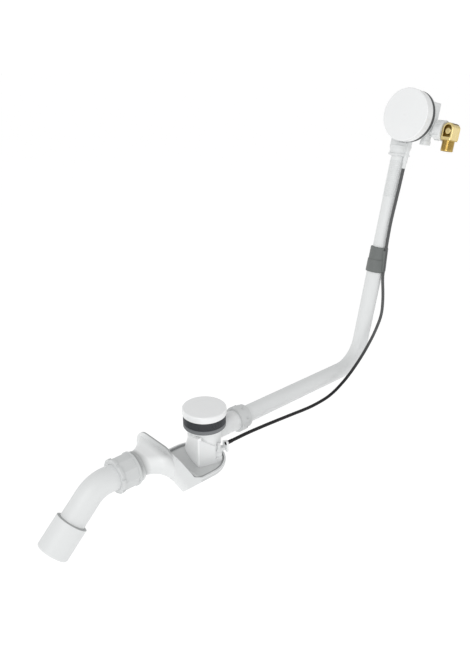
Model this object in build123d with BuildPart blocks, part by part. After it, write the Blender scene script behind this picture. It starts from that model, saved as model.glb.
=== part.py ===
from build123d import *
import os
from math import cos, pi, radians, sin, tan

os.makedirs("parts", exist_ok=True)

# All lengths in millimetres. The origin is the centre of the waste seat, the top of
# the grey gasket; +X runs from the drain to the overflow, +Z is up.

# Clearances
running_gap = 0.3        # between faces that move past each other
bearing_gap = 0.1        # shaft in its bearing, on the radius
slip_gap = 0.2           # pipe in its socket, on the radius
seat_gap = 0.05          # pieces pushed together and left there, on the radius
edge_break = 0.8         # small bevel on moulded rims

# Drain stack
stack_radius = 35.2
stack_bore_radius = 24.8
gasket_height = 7.0
seal_height = 13.0
seal_rib_count = 6
seal_rib_depth = 0.7
flange_radius = 34.0
flange_thickness = 2.0
skirt_radius = 24.2
skirt_wall = 2.2
skirt_bottom_z = -18.0
spoke_count = 3
spoke_width = 2.5
spoke_bottom_z = 3.0
spoke_height = 6.0
guide_radius = 7.5
guide_top_z = 12.0

# Plug
cap_radius = 36.4
cap_top_z = 27.0
cap_crown = 0.9
cap_wall = 3.0
cap_edge_radius = 2.2
hub_radius = 9.0
hub_bottom_z = 17.0
rib_inner_radius = 23.5
rib_outer_radius = 27.0
plug_seal_inner_radius = 22.0
plug_seal_outer_radius = 30.0
plug_seal_height = 4.5
stem_radius = 4.0
stem_foot_radius = 6.0
stem_foot_z = -42.0
stem_foot_height = 3.0

# Drain body
pipe_axis_z = -25.6      # outlet and overflow branch
collar_radius = 33.0
collar_height = 3.0
neck_radius = 27.0
neck_low_radius = 25.0
neck_step_z = -40.0
waterway_radius = 20.0
socket_bottom_z = -22.0
dip_radius = 22.6
dip_bottom_z = -70.0
branch_radius = 17.6
branch_end_x = 74.0
branch_bore_radius = 13.4
branch_socket_x = 50.0
block_turn = -16.7       # lifter housing, turned about the drain axis
block_left_u = -24.0
block_right_u = 19.0
block_front_v = -30.0
block_back_v = 19.5
block_left_top_z = -13.0
block_right_top_z = -43.0
block_edge_radius = 3.0
block_top_radius = 1.6
recess_left_u = 6.0
recess_front_v = -26.0
recess_bottom_z = -58.0
bracket_left_u = 24.0
bracket_right_u = 27.2
bracket_front_v = -35.0
bracket_bottom_z = -47.0
bracket_top_z = -28.6

# Lifter lever, laid out in the turned frame of its housing
lever_u = 13.0
lever_z = -44.5
lever_shaft_radius = 2.5
lever_inner_v = 3.0
finger_half_width = 2.5
finger_gap = 0.5
finger_tip_u = -1.0
crank_length = 11.5
crank_half_width = 2.4
crank_thickness = 3.2
drain_cable_v = -30.6
drain_cable_z = -33.0

# Trap
trap_half_width = 51.0
trap_end_x = -22.0       # centre of the rounded end
trap_rim_z = -63.0
trap_floor_z = -77.0
trap_wall = 2.6
deck_depth = 3.0
lip_width = 3.0
slope_foot_x = -46.0
slope_knee_x = -63.0
slope_knee_z = -55.0
slope_top_z = 0.0
fin_x = -100.0
fin_thickness = 3.0
fin_top_z = 5.5
fin_corner_radius = 27.0
hood_foot_z = -46.0
heel_x = -90.0
heel_z = -63.0
floor_start_x = -82.0
scoop_radius = 150.0      # hollow under the hood, across the trap
scoop_depth = 6.5
floor_edge_radius = 12.0
bowl_side_wall = 4.5
bowl_inner_radius = 5.0
fin_ledge = 0.5          # end wall past the side of the hood
hood_top_z = -4.0
hood_corner_radius = 16.0
hood_waist_x = -114.0
hood_waist_width = 66.0
hood_waist_top_z = -7.0
hood_waist_foot_z = -38.5
hood_waist_radius = 14.0
hood_start_x = -134.5
throat_width = 42.0
throat_top_z = -4.5
throat_foot_z = -40.0
throat_radius = 16.0
neck_outer_radius = 23.8
neck_end_x = -163.0
trap_seal_radius = 25.4

# Outlet
outlet_pipe_radius = 20.0
outlet_pipe_wall = 1.9
outlet_pipe_start = 150.0   # distances along the outlet, from the drain axis
nut_near = 143.0
nut_far = 176.0
nut_rim_radius = 27.6
nut_waist_radius = 26.0
nut_flat_count = 10
elbow_corner_x = -207.7
elbow_angle = 45.0
elbow_bend_radius = 46.0
sleeve_radius = 25.0
sleeve_start = 60.0         # distances along the slanting leg, from the corner
sleeve_end = 110.3
sleeve_bore_radius = 22.8
sleeve_seal_radius = 24.0
sleeve_seal_height = 3.6

# Overflow pipe
lower_radius = 15.2
lower_wall = 1.4
lower_start_x = 54.0
riser_corner_x = 397.1
riser_lean = 11.3
riser_bend_radius = 62.0
upper_radius = 13.4
upper_wall = 1.5
upper_bottom = 150.0        # distances along the riser, from the corner
upper_top = 438.0
clip_bottom = 190.0
clip_step = 214.0
clip_top = 238.5
clip_lower_radius = 17.8
clip_upper_radius = 16.8
branch_nut_near_x = 66.0
branch_nut_step_x = 80.0
branch_nut_far_x = 89.0
branch_nut_radius = 22.6
branch_nut_small_radius = 20.4
branch_notch_count = 8

# Cable
cable_radius = 2.4
clip_top_side = 18.0        # sideways from the riser axis
clip_top_front = 4.2
clip_bottom_side = 18.9
clip_bottom_front = -1.6
head_cable_side = 18.2
head_cable_front = 3.5
head_cable_end = 389.0
ferrule_length = 14.0
conduit_radius = 4.4
conduit_end = 80.0          # below the rosette centre

# Overflow head, in the frame of the rosette: x sideways, y up, z out of the bath wall
head_x = 444.6
head_y = -26.0
head_z = 453.5
rosette_radius = 45.0
rosette_depth = 18.0
rosette_wall = 2.6
rosette_crown = 0.8
seal_thickness = 8.0
wall_seal_width = 10.6
wall_seal_inset = 0.4       # inside the rim of the rosette
plate_gap = 3.4
plate_thickness = 3.0
front_disc_inset = 0.6
front_disc_thickness = 2.5
screw_radius = 1.8
boss_length = 15.0
mouth_height = 26.0
mouth_web = 5.0             # plate left beyond the mouth
mouth_inner_offset = 12.0   # from the pipe axis to the mouth's inner edge
case_left = -46.0
case_right = 34.0
case_bottom = -30.0
case_top = 28.0
case_depth = 24.0
case_wall = 2.5
case_edge_radius = 3.0
spindle_radius = 3.0
drum_radius = 4.9
drum_rim_radius = 9.0
spigot_radius = 17.2
collar_step_radius = 19.4
spigot_end = 70.0           # below the rosette centre
collar_start = 40.0
collar_end = 57.0
inlet_y = -18.0
inlet_z = -45.0
inlet_neck_radius = 9.5
inlet_nut_near = 43.0
inlet_nut_far = 59.0
inlet_nut_radius = 17.6
thread_radius = 12.6
brass_left = 59.6
brass_right = 80.5
brass_bottom = -31.5
brass_top = -4.0
brass_half_depth = 12.0
brass_frame = 3.5           # rim round the hollow in the face
brass_hollow = 4.5
brass_boss_radius = 6.0
brass_boss_rise = 3.4
brass_bore_radius = 5.5
tap_bore_radius = 7.0
tap_thread_radius = 10.48   # half of a G1/2 thread over its crests
tap_thread_length = 20.5
stub_x = 26.0
stub_z = -43.0
stub_radius = 8.2
stub_bottom = -43.0

# Planes and axes that follow from the values above
block_plane = Plane.XY.rotated((0, 0, block_turn))
block_u = block_plane.x_dir
block_v = block_plane.y_dir
block_side = Plane(origin=(0, 0, 0), x_dir=block_u, z_dir=-block_v)
outlet_plane = Plane(origin=(0, 0, pipe_axis_z), x_dir=(-1, 0, 0), z_dir=(0, 1, 0))
outlet_axis = Axis((0, 0, pipe_axis_z), (-1, 0, 0))
branch_plane = Plane(origin=(0, 0, pipe_axis_z), x_dir=(1, 0, 0), z_dir=(0, -1, 0))
branch_axis = Axis((0, 0, pipe_axis_z), (1, 0, 0))
elbow_corner = Vector(elbow_corner_x, 0, pipe_axis_z)
drop_dir = Vector(-cos(radians(elbow_angle)), 0, -sin(radians(elbow_angle)))
drop_plane = Plane(origin=elbow_corner, x_dir=drop_dir, z_dir=(0, 1, 0))
drop_axis = Axis(elbow_corner, drop_dir)
riser_corner = Vector(riser_corner_x, 0, pipe_axis_z)
riser_dir = Vector(sin(radians(riser_lean)), 0, cos(radians(riser_lean)))
front_dir = Vector(-cos(radians(riser_lean)), 0, sin(radians(riser_lean)))
side_dir = Vector(0, -1, 0)
riser_plane = Plane(origin=riser_corner, x_dir=riser_dir, z_dir=side_dir)
riser_axis = Axis(riser_corner, riser_dir)
head_origin = Vector(head_x, head_y, head_z)
head_plane = Plane(origin=head_origin, x_dir=side_dir, z_dir=front_dir)
head_axis = Axis(head_origin, front_dir)
head_side = Plane(origin=head_origin, x_dir=side_dir, z_dir=-riser_dir)
wall_z = -rosette_depth - seal_thickness
wall_seal_radius = rosette_radius - wall_seal_inset
wall_seal_inner_radius = wall_seal_radius - wall_seal_width
plate_radius = rosette_radius - rosette_wall - plate_gap
front_disc_radius = rosette_radius - front_disc_inset
front_disc_back = wall_z - front_disc_thickness
case_back = front_disc_back - case_depth
riser_in_head = head_plane.to_local_coords(riser_corner)
pipe_x = riser_in_head.X
pipe_z = riser_in_head.Z
head_level = -riser_in_head.Y   # distance along the riser at the rosette centre
flange_bottom_z = seal_height
flange_top_z = seal_height + flange_thickness
cap_bottom_z = flange_top_z + running_gap
deck_z = trap_rim_z - deck_depth
waist = nut_waist_radius
ferrule_radius = cable_radius + 0.8


def section(plane, points):
    with BuildSketch(plane, mode=Mode.PRIVATE) as outline:
        with BuildLine():
            Polyline(*points, close=True)
        make_face()
    return outline.sketch


def on_riser(along, side, front):
    return riser_corner + riser_dir * along + side_dir * side + front_dir * front


def in_block(u, v, z):
    return block_u * u + block_v * v + Vector(0, 0, z)


def in_head(x, y, z):
    return head_plane.from_local_coords(Vector(x, y, z))


cable_seat = Plane(origin=in_block(bracket_left_u, drain_cable_v, drain_cable_z),
                   x_dir=(0, 1, 0), z_dir=(1, 0, 0))

# Grey gasket under the bath floor
with BuildPart() as drain_gasket:
    gasket_points = [
        (stack_bore_radius, -gasket_height),
        (stack_radius - edge_break, -gasket_height),
        (stack_radius, -gasket_height + edge_break),
        (stack_radius, 0),
        (stack_bore_radius, 0),
    ]
    revolve(section(Plane.XZ, gasket_points), axis=Axis.Z)
drain_gasket.part.label = "drain_gasket"
export_step(drain_gasket.part, "parts/drain_gasket.step")

# Black ribbed ring above it
with BuildPart() as drain_seal:
    seal_points = [(stack_bore_radius, 0)]
    rib_pitch = seal_height / seal_rib_count
    for rib in range(seal_rib_count):
        seal_points.append((stack_radius - seal_rib_depth, rib * rib_pitch))
        seal_points.append((stack_radius, (rib + 0.3) * rib_pitch))
        seal_points.append((stack_radius, (rib + 0.7) * rib_pitch))
    seal_points.append((stack_radius - seal_rib_depth, seal_height))
    seal_points.append((stack_bore_radius, seal_height))
    revolve(section(Plane.XZ, seal_points), axis=Axis.Z)
drain_seal.part.label = "drain_seal"
export_step(drain_seal.part, "parts/drain_seal.step")

# Steel flange with threaded skirt, strainer spokes and stem guide
skirt_inner_radius = skirt_radius - skirt_wall
with BuildPart() as drain_flange:
    flange_points = [
        (skirt_inner_radius, skirt_bottom_z),
        (skirt_radius, skirt_bottom_z),
        (skirt_radius, flange_bottom_z),
        (flange_radius, flange_bottom_z),
        (flange_radius, flange_top_z - edge_break),
        (flange_radius - edge_break, flange_top_z),
        (skirt_inner_radius + edge_break, flange_top_z),
        (skirt_inner_radius, flange_top_z - edge_break),
    ]
    revolve(section(Plane.XZ, flange_points), axis=Axis.Z)
    with BuildSketch(Plane.XY.offset(spoke_bottom_z)):
        with PolarLocations((skirt_inner_radius + 0.5) / 2, spoke_count):
            Rectangle(skirt_inner_radius + 0.5, spoke_width)
    extrude(amount=spoke_height)
    with BuildSketch(Plane.XY):
        Circle(guide_radius)
    extrude(amount=guide_top_z)
    with BuildSketch(Plane.XY):
        Circle(stem_radius + bearing_gap)
    extrude(amount=guide_top_z, mode=Mode.SUBTRACT)
drain_flange.part.label = "drain_flange"
export_step(drain_flange.part, "parts/drain_flange.step")

# Plug: cap, its ring and its stem
with BuildPart() as plug_cover:
    cap_ceiling_z = cap_top_z - cap_crown - cap_wall
    seat_z = cap_bottom_z + plug_seal_height
    cap_points = [
        (0, cap_top_z),
        (cap_radius * 0.5, cap_top_z - cap_crown * 0.25),
        (cap_radius, cap_top_z - cap_crown),
        (cap_radius, cap_bottom_z),
        (cap_radius - cap_wall, cap_bottom_z),
        (cap_radius - cap_wall, cap_ceiling_z),
        (rib_outer_radius, cap_ceiling_z),
        (rib_outer_radius, seat_z),
        (rib_inner_radius, seat_z),
        (rib_inner_radius, cap_ceiling_z),
        (hub_radius, cap_ceiling_z),
        (hub_radius, hub_bottom_z),
        (stem_radius + seat_gap, hub_bottom_z),
        (stem_radius + seat_gap, cap_ceiling_z),
        (0, cap_ceiling_z),
    ]
    revolve(section(Plane.XZ, cap_points), axis=Axis.Z)
    rim_edges = plug_cover.edges().filter_by(GeomType.CIRCLE)
    fillet(rim_edges.filter_by(lambda e: e.radius > cap_radius - 0.01
                               and e.center().Z > cap_bottom_z + 1), cap_edge_radius)
plug_cover.part.label = "plug_cover"
export_step(plug_cover.part, "parts/plug_cover.step")

with BuildPart() as plug_seal:
    lip = plug_seal_height * 0.4
    plug_seal_points = [
        (plug_seal_inner_radius, cap_bottom_z + lip),
        (plug_seal_inner_radius + lip, cap_bottom_z),
        (plug_seal_outer_radius - lip, cap_bottom_z),
        (plug_seal_outer_radius, cap_bottom_z + lip),
        (plug_seal_outer_radius, seat_z),
        (plug_seal_inner_radius, seat_z),
    ]
    revolve(section(Plane.XZ, plug_seal_points), axis=Axis.Z)
plug_seal.part.label = "plug_seal"
export_step(plug_seal.part, "parts/plug_seal.step")

with BuildPart() as plug_stem:
    stem_points = [
        (0, stem_foot_z),
        (stem_foot_radius, stem_foot_z),
        (stem_foot_radius, stem_foot_z + stem_foot_height),
        (stem_radius, stem_foot_z + stem_foot_height),
        (stem_radius, cap_ceiling_z - edge_break),
        (stem_radius - edge_break, cap_ceiling_z),
        (0, cap_ceiling_z),
    ]
    revolve(section(Plane.XZ, stem_points), axis=Axis.Z)
plug_stem.part.label = "plug_stem"
export_step(plug_stem.part, "parts/plug_stem.step")

# Drain body: neck, dip tube, lifter housing and overflow branch
with BuildPart() as drain_body:
    body_points = [
        (0, dip_bottom_z),
        (dip_radius, dip_bottom_z),
        (dip_radius, deck_z),
        (neck_low_radius, deck_z),
        (neck_low_radius, neck_step_z - 3),
        (neck_radius, neck_step_z),
        (neck_radius, -gasket_height - collar_height),
        (collar_radius, -gasket_height - collar_height),
        (collar_radius, -gasket_height),
        (0, -gasket_height),
    ]
    revolve(section(Plane.XZ, body_points), axis=Axis.Z)
    with BuildPart(mode=Mode.PRIVATE) as lifter_block:
        block_points = [
            (block_left_u, deck_z),
            (block_right_u, deck_z),
            (block_right_u, block_right_top_z),
            (block_left_u, block_left_top_z),
        ]
        with BuildSketch(block_side.offset(-block_back_v)):
            with BuildLine():
                Polyline(*block_points, close=True)
            make_face()
        extrude(amount=block_back_v - block_front_v)
        upright = lifter_block.edges().filter_by(Axis.Z)
        fillet(upright, block_edge_radius)
        sloping_top = lifter_block.faces().sort_by(lambda f: f.normal_at().Z)[-1]
        fillet(sloping_top.edges(), block_top_radius)
    add(lifter_block.part)
    branch_points = [
        (0, 0),
        (branch_end_x, 0),
        (branch_end_x, branch_radius),
        (0, branch_radius),
    ]
    revolve(section(branch_plane, branch_points), axis=branch_axis)
    bore_points = [
        (0, dip_bottom_z - 1),
        (waterway_radius, dip_bottom_z - 1),
        (waterway_radius, socket_bottom_z),
        (skirt_radius + seat_gap, socket_bottom_z),
        (skirt_radius + seat_gap, -gasket_height + 1),
        (0, -gasket_height + 1),
    ]
    revolve(section(Plane.XZ, bore_points), axis=Axis.Z, mode=Mode.SUBTRACT)
    branch_bore_points = [
        (waterway_radius / 2, 0),
        (branch_end_x + 1, 0),
        (branch_end_x + 1, lower_radius + slip_gap),
        (branch_socket_x, lower_radius + slip_gap),
        (branch_socket_x, branch_bore_radius),
        (waterway_radius / 2, branch_bore_radius),
    ]
    revolve(section(branch_plane, branch_bore_points), axis=branch_axis,
            mode=Mode.SUBTRACT)
    # open recess for the crank, and the bracket that holds the cable end
    recess_points = [
        (recess_left_u, recess_bottom_z),
        (block_right_u + 1, recess_bottom_z),
        (block_right_u + 1, 0),
        (recess_left_u, 0),
    ]
    with BuildSketch(block_side.offset(-recess_front_v)):
        with BuildLine():
            Polyline(*recess_points, close=True)
        make_face()
    extrude(amount=recess_front_v - block_front_v + 1, mode=Mode.SUBTRACT)
    bracket_points = [
        (bracket_left_u, bracket_bottom_z),
        (bracket_right_u, bracket_bottom_z),
        (bracket_right_u, bracket_top_z),
        (bracket_left_u, bracket_top_z),
    ]
    with BuildSketch(block_side.offset(-recess_front_v)):
        with BuildLine():
            Polyline(*bracket_points, close=True)
        make_face()
    extrude(amount=recess_front_v - bracket_front_v)
    arm_points = [
        (block_right_u - 4, bracket_bottom_z - 4),
        (bracket_right_u, bracket_bottom_z),
        (bracket_right_u, bracket_top_z - 6),
        (bracket_left_u, bracket_top_z - 6),
        (bracket_left_u, bracket_bottom_z + 4),
        (block_right_u - 4, bracket_bottom_z + 4),
    ]
    with BuildSketch(block_side.offset(-recess_front_v - 8)):
        with BuildLine():
            Polyline(*arm_points, close=True)
        make_face()
    extrude(amount=8)
    with BuildSketch(cable_seat):
        Circle(ferrule_radius + seat_gap)
    extrude(amount=2 * (bracket_right_u - bracket_left_u), both=True, mode=Mode.SUBTRACT)
    shaft_seat = Plane(origin=in_block(lever_u, 0, lever_z), x_dir=block_u, z_dir=-block_v)
    with BuildSketch(shaft_seat):
        Circle(lever_shaft_radius + bearing_gap)
    extrude(amount=-block_front_v, mode=Mode.SUBTRACT)
drain_body.part.label = "drain_body"
export_step(drain_body.part, "parts/drain_body.step")

# Lifter lever: shaft, finger under the stem, crank at the cable
with BuildPart() as lifter_lever:
    crank_v = recess_front_v - running_gap - crank_thickness
    finger_top_z = stem_foot_z - finger_gap
    shaft_start = Plane(origin=in_block(lever_u, lever_inner_v, lever_z),
                        x_dir=block_u, z_dir=-block_v)
    with BuildSketch(shaft_start):
        Circle(lever_shaft_radius)
    extrude(amount=lever_inner_v - crank_v)
    finger_points = [
        (lever_u + lever_shaft_radius, lever_z - lever_shaft_radius),
        (lever_u + lever_shaft_radius, lever_z + lever_shaft_radius),
        (lever_u - 6, finger_top_z),
        (finger_tip_u + 1, finger_top_z),
        (finger_tip_u, finger_top_z - 1),
        (finger_tip_u, finger_top_z - 4),
        (lever_u - 6, lever_z - lever_shaft_radius),
    ]
    with BuildSketch(block_side.offset(-finger_half_width)):
        with BuildLine():
            Polyline(*finger_points, close=True)
        make_face()
    extrude(amount=2 * finger_half_width)
    crank_start = Plane(origin=in_block(lever_u, crank_v + crank_thickness, lever_z),
                        x_dir=block_u, z_dir=-block_v)
    with BuildSketch(crank_start):
        Circle(lever_shaft_radius + 1.6)
        with Locations((0, crank_length / 2)):
            Rectangle(2 * crank_half_width, crank_length)
        with Locations((0, crank_length)):
            Circle(crank_half_width)
    extrude(amount=crank_thickness)
lifter_lever.part.label = "lifter_lever"
export_step(lifter_lever.part, "parts/lifter_lever.step")

with BuildPart() as drain_cable_ferrule:
    with BuildSketch(cable_seat):
        Circle(ferrule_radius)
        Circle(cable_radius + seat_gap, mode=Mode.SUBTRACT)
    extrude(amount=ferrule_length)
drain_cable_ferrule.part.label = "drain_cable_ferrule"
export_step(drain_cable_ferrule.part, "parts/drain_cable_ferrule.step")

# Sections of the hood, from the end wall to the outlet neck
def hood_section(x, width, top_z, foot_z, radius):
    plane = Plane(origin=(x, 0, (top_z + foot_z) / 2), x_dir=(0, 1, 0), z_dir=(-1, 0, 0))
    return plane, width, top_z - foot_z, radius


hood_width = 2 * (trap_half_width - fin_ledge)
hood_sections = [
    hood_section(fin_x + 1, hood_width, hood_top_z, hood_foot_z, hood_corner_radius),
    hood_section(hood_waist_x, hood_waist_width, hood_waist_top_z, hood_waist_foot_z,
                 hood_waist_radius),
    hood_section(hood_start_x, throat_width, throat_top_z, throat_foot_z, throat_radius),
]
outlet_end = Plane(origin=(hood_start_x, 0, pipe_axis_z), x_dir=(0, 1, 0), z_dir=(-1, 0, 0))

# Trap: bowl, rising channel, end wall, hood and outlet neck in one moulding
with BuildPart() as trap_body:
    inner_face_x = fin_x + fin_thickness
    trap_points = [
        (trap_end_x + trap_half_width, trap_rim_z),
        (slope_foot_x, trap_rim_z),
        (slope_knee_x, slope_knee_z),
        (inner_face_x, slope_top_z),
        (inner_face_x, fin_top_z),
        (fin_x, fin_top_z),
        (fin_x, hood_foot_z),
        (heel_x, heel_z),
        (floor_start_x, trap_floor_z),
        (trap_end_x + trap_half_width, trap_floor_z),
    ]
    with BuildSketch(Plane.XZ):
        with BuildLine():
            Polyline(*trap_points, close=True)
        make_face()
    extrude(amount=trap_half_width, both=True)
    with BuildSketch(Plane.XY.offset(trap_floor_z)):
        with Locations(((fin_x + trap_end_x) / 2, 0)):
            Rectangle(trap_end_x - fin_x, 2 * trap_half_width)
        with Locations((trap_end_x, 0)):
            Circle(trap_half_width)
    extrude(amount=fin_top_z - trap_floor_z, mode=Mode.INTERSECT)
    floor_edges = trap_body.edges().filter_by(
        lambda e: e.center().Z < trap_floor_z + 0.1
        or (e.center().Z < heel_z - 0.1 and e.center().X < floor_start_x))
    side_edges = floor_edges.filter_by(
        lambda e: abs(e.center().Y) > trap_half_width - 1 or e.center().X > trap_end_x + 20)
    fillet(side_edges, floor_edge_radius)
    with BuildSketch(Plane.YZ.offset(fin_x)) as fin_outline:
        with Locations((0, (fin_top_z + trap_floor_z) / 2)):
            Rectangle(2 * trap_half_width, fin_top_z - trap_floor_z)
        fillet(fin_outline.vertices().group_by(Axis.Y)[-1], fin_corner_radius)
    extrude(amount=trap_end_x + 2 * trap_half_width - fin_x, mode=Mode.INTERSECT)
    scoop_run = Vector(fin_x - floor_start_x, 0, hood_foot_z - trap_floor_z)
    with BuildSketch(Plane.XY.offset(trap_floor_z)):
        with Locations((floor_start_x + scoop_depth - scoop_radius, 0)):
            Circle(scoop_radius)
    extrude(amount=scoop_run.length, dir=scoop_run.normalized(), mode=Mode.SUBTRACT)
    for plane, width, height, radius in hood_sections:
        with BuildSketch(plane):
            RectangleRounded(width, height, radius)
    loft()
    with BuildSketch(outlet_end):
        Circle(neck_outer_radius)
    extrude(amount=hood_start_x - neck_end_x)
    # recessed deck inside the rim
    slope_run = inner_face_x - slope_knee_x
    slope_rise = slope_top_z - slope_knee_z
    slope_length = (slope_run ** 2 + slope_rise ** 2) ** 0.5
    normal_x = -slope_rise / slope_length
    normal_z = slope_run / slope_length
    band_top_z = hood_top_z - 6
    band_top_x = slope_knee_x + slope_run * (band_top_z - slope_knee_z) / slope_rise
    deck_points = [
        (trap_end_x + trap_half_width, deck_z),
        (slope_foot_x, deck_z),
        (slope_knee_x + normal_x * deck_depth, slope_knee_z + normal_z * deck_depth),
        (band_top_x + normal_x * deck_depth, band_top_z + normal_z * deck_depth),
        (band_top_x, band_top_z),
        (band_top_x + 2 * deck_depth, band_top_z),
        (slope_knee_x + 2 * deck_depth, slope_knee_z + deck_depth),
        (trap_end_x + trap_half_width, trap_rim_z + deck_depth),
    ]
    with BuildPart(mode=Mode.PRIVATE) as deck_space:
        with BuildSketch(Plane.XZ):
            with BuildLine():
                Polyline(*deck_points, close=True)
            make_face()
        extrude(amount=trap_half_width - lip_width, both=True)
        with BuildSketch(Plane.XY.offset(trap_floor_z)):
            with Locations(((fin_x + trap_end_x) / 2, 0)):
                Rectangle(trap_end_x - fin_x, 2 * (trap_half_width - lip_width))
            with Locations((trap_end_x, 0)):
                Circle(trap_half_width - lip_width)
        extrude(amount=fin_top_z - trap_floor_z, mode=Mode.INTERSECT)
    add(deck_space.part, mode=Mode.SUBTRACT)
    # waterway through bowl, rising channel, hood and neck
    ceiling = deck_depth + trap_wall
    void_points = [
        (trap_end_x + trap_half_width, deck_z - trap_wall),
        (slope_foot_x - 2, deck_z - trap_wall),
        (slope_knee_x + normal_x * ceiling, slope_knee_z + normal_z * ceiling),
        (inner_face_x, hood_top_z - 9),
        (inner_face_x, hood_foot_z + trap_wall),
        (fin_x + scoop_depth + 0.8 * trap_wall, hood_foot_z + trap_wall),
        (heel_x + scoop_depth + 0.8 * trap_wall, heel_z + 0.6 * trap_wall),
        (floor_start_x + scoop_depth + 0.5 * trap_wall, trap_floor_z + trap_wall),
        (trap_end_x + trap_half_width, trap_floor_z + trap_wall),
    ]
    with BuildPart(mode=Mode.PRIVATE) as trap_void:
        with BuildSketch(Plane.XZ):
            with BuildLine():
                Polyline(*void_points, close=True)
            make_face()
        extrude(amount=trap_half_width - bowl_side_wall, both=True)
        with BuildSketch(Plane.XY.offset(trap_floor_z)):
            with Locations(((fin_x + trap_end_x) / 2 - 1, 0)):
                Rectangle(trap_end_x - fin_x + 2, 2 * (trap_half_width - bowl_side_wall))
            with Locations((trap_end_x, 0)):
                Circle(trap_half_width - bowl_side_wall)
        extrude(amount=fin_top_z - trap_floor_z, mode=Mode.INTERSECT)
        void_edges = trap_void.edges().filter_by(
            lambda e: e.center().Z < trap_floor_z + trap_wall + 0.1
            or (e.center().Z < heel_z
                and e.center().X < floor_start_x + scoop_depth + trap_wall))
        void_sides = void_edges.filter_by(
            lambda e: abs(e.center().Y) > trap_half_width - bowl_side_wall - 1
            or e.center().X > trap_end_x + 20)
        fillet(void_sides, bowl_inner_radius)
        wide_plane, wide_across, wide_height, wide_corner = hood_sections[0]
        with BuildSketch(wide_plane):
            RectangleRounded(wide_across - 2 * trap_wall, wide_height - 2 * trap_wall,
                             wide_corner - trap_wall)
        extrude(amount=-fin_thickness - trap_wall)
        for plane, width, height, radius in hood_sections:
            with BuildSketch(plane):
                RectangleRounded(width - 2 * trap_wall, height - 2 * trap_wall,
                                 radius - trap_wall)
        loft()
        throat_plane, throat_across, throat_height, throat_corner = hood_sections[-1]
        with BuildSketch(throat_plane):
            RectangleRounded(throat_across - 2 * trap_wall, throat_height - 2 * trap_wall,
                             throat_corner - trap_wall)
        extrude(amount=hood_start_x + outlet_pipe_start)
        with BuildSketch(outlet_end.offset(hood_start_x + outlet_pipe_start - seat_gap)):
            Circle(outlet_pipe_radius + slip_gap)
        extrude(amount=-outlet_pipe_start - neck_end_x + seat_gap + 1)
    add(trap_void.part, mode=Mode.SUBTRACT)
    with BuildSketch(Plane.XY.offset(deck_z + 1)):
        Circle(trap_seal_radius)
    extrude(amount=-trap_wall - 2, mode=Mode.SUBTRACT)
trap_body.part.label = "trap_body"
export_step(trap_body.part, "parts/trap_body.step")

with BuildPart() as trap_seal:
    trap_seal_points = [
        (dip_radius + seat_gap, deck_z - trap_wall),
        (trap_seal_radius - seat_gap, deck_z - trap_wall),
        (trap_seal_radius - seat_gap, deck_z),
        (dip_radius + seat_gap, deck_z),
    ]
    revolve(section(Plane.XZ, trap_seal_points), axis=Axis.Z)
trap_seal.part.label = "trap_seal"
export_step(trap_seal.part, "parts/trap_seal.step")

# Outlet: union nut, wedge ring, elbow, sleeve and its ring
neck_end = -neck_end_x
wedge_end = neck_end + 5.5
with BuildPart() as outlet_seal:
    wedge_points = [
        (neck_end, outlet_pipe_radius + seat_gap),
        (neck_end, neck_outer_radius),
        (neck_end + 3, neck_outer_radius),
        (wedge_end, outlet_pipe_radius + 1.5),
        (wedge_end, outlet_pipe_radius + seat_gap),
    ]
    revolve(section(outlet_plane, wedge_points), axis=outlet_axis)
outlet_seal.part.label = "outlet_seal"
export_step(outlet_seal.part, "parts/outlet_seal.step")

with BuildPart() as outlet_nut:
    rim_near = nut_near + 3.5
    rim_far = nut_far - 5
    outer_points = [
        (nut_near, 0),
        (nut_far, 0),
        (nut_far, nut_rim_radius - edge_break),
        (nut_far - edge_break, nut_rim_radius),
        (rim_far, nut_rim_radius),
        (rim_far, waist - 1.2),
        (rim_near, waist - 1.2),
        (rim_near, nut_rim_radius - 0.6),
        (nut_near, nut_rim_radius - 0.6),
    ]
    revolve(section(outlet_plane, outer_points), axis=outlet_axis)
    flats_plane = Plane(origin=(-rim_near, 0, pipe_axis_z), x_dir=(0, 1, 0),
                        z_dir=(-1, 0, 0))
    with BuildSketch(flats_plane):
        RegularPolygon(radius=waist + 0.6, side_count=nut_flat_count)
    extrude(amount=rim_far - rim_near)
    with BuildSketch(flats_plane.offset(rim_far - rim_near)):
        with PolarLocations(nut_rim_radius, 8, start_angle=20):
            Rectangle(2.4, 5)
    extrude(amount=nut_far - rim_far, mode=Mode.SUBTRACT)
    inner_points = [
        (nut_near - 1, 0),
        (nut_near - 1, neck_outer_radius + seat_gap),
        (neck_end + 3, neck_outer_radius + seat_gap),
        (wedge_end + seat_gap, outlet_pipe_radius + 1.5),
        (wedge_end + seat_gap, outlet_pipe_radius + slip_gap),
        (nut_far + 1, outlet_pipe_radius + slip_gap),
        (nut_far + 1, 0),
    ]
    revolve(section(outlet_plane, inner_points), axis=outlet_axis, mode=Mode.SUBTRACT)
outlet_nut.part.label = "outlet_nut"
export_step(outlet_nut.part, "parts/outlet_nut.step")

pipe_inside = sleeve_end - 16
with BuildPart() as outlet_elbow:
    with BuildLine() as elbow_path:
        FilletPolyline((-outlet_pipe_start, 0, pipe_axis_z), elbow_corner,
                       elbow_corner + drop_dir * pipe_inside, radius=elbow_bend_radius)
    with BuildSketch(Plane(origin=(-outlet_pipe_start, 0, pipe_axis_z), z_dir=(-1, 0, 0))):
        Circle(outlet_pipe_radius)
        Circle(outlet_pipe_radius - outlet_pipe_wall, mode=Mode.SUBTRACT)
    sweep(path=elbow_path.line)
outlet_elbow.part.label = "outlet_elbow"
export_step(outlet_elbow.part, "parts/outlet_elbow.step")

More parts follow.
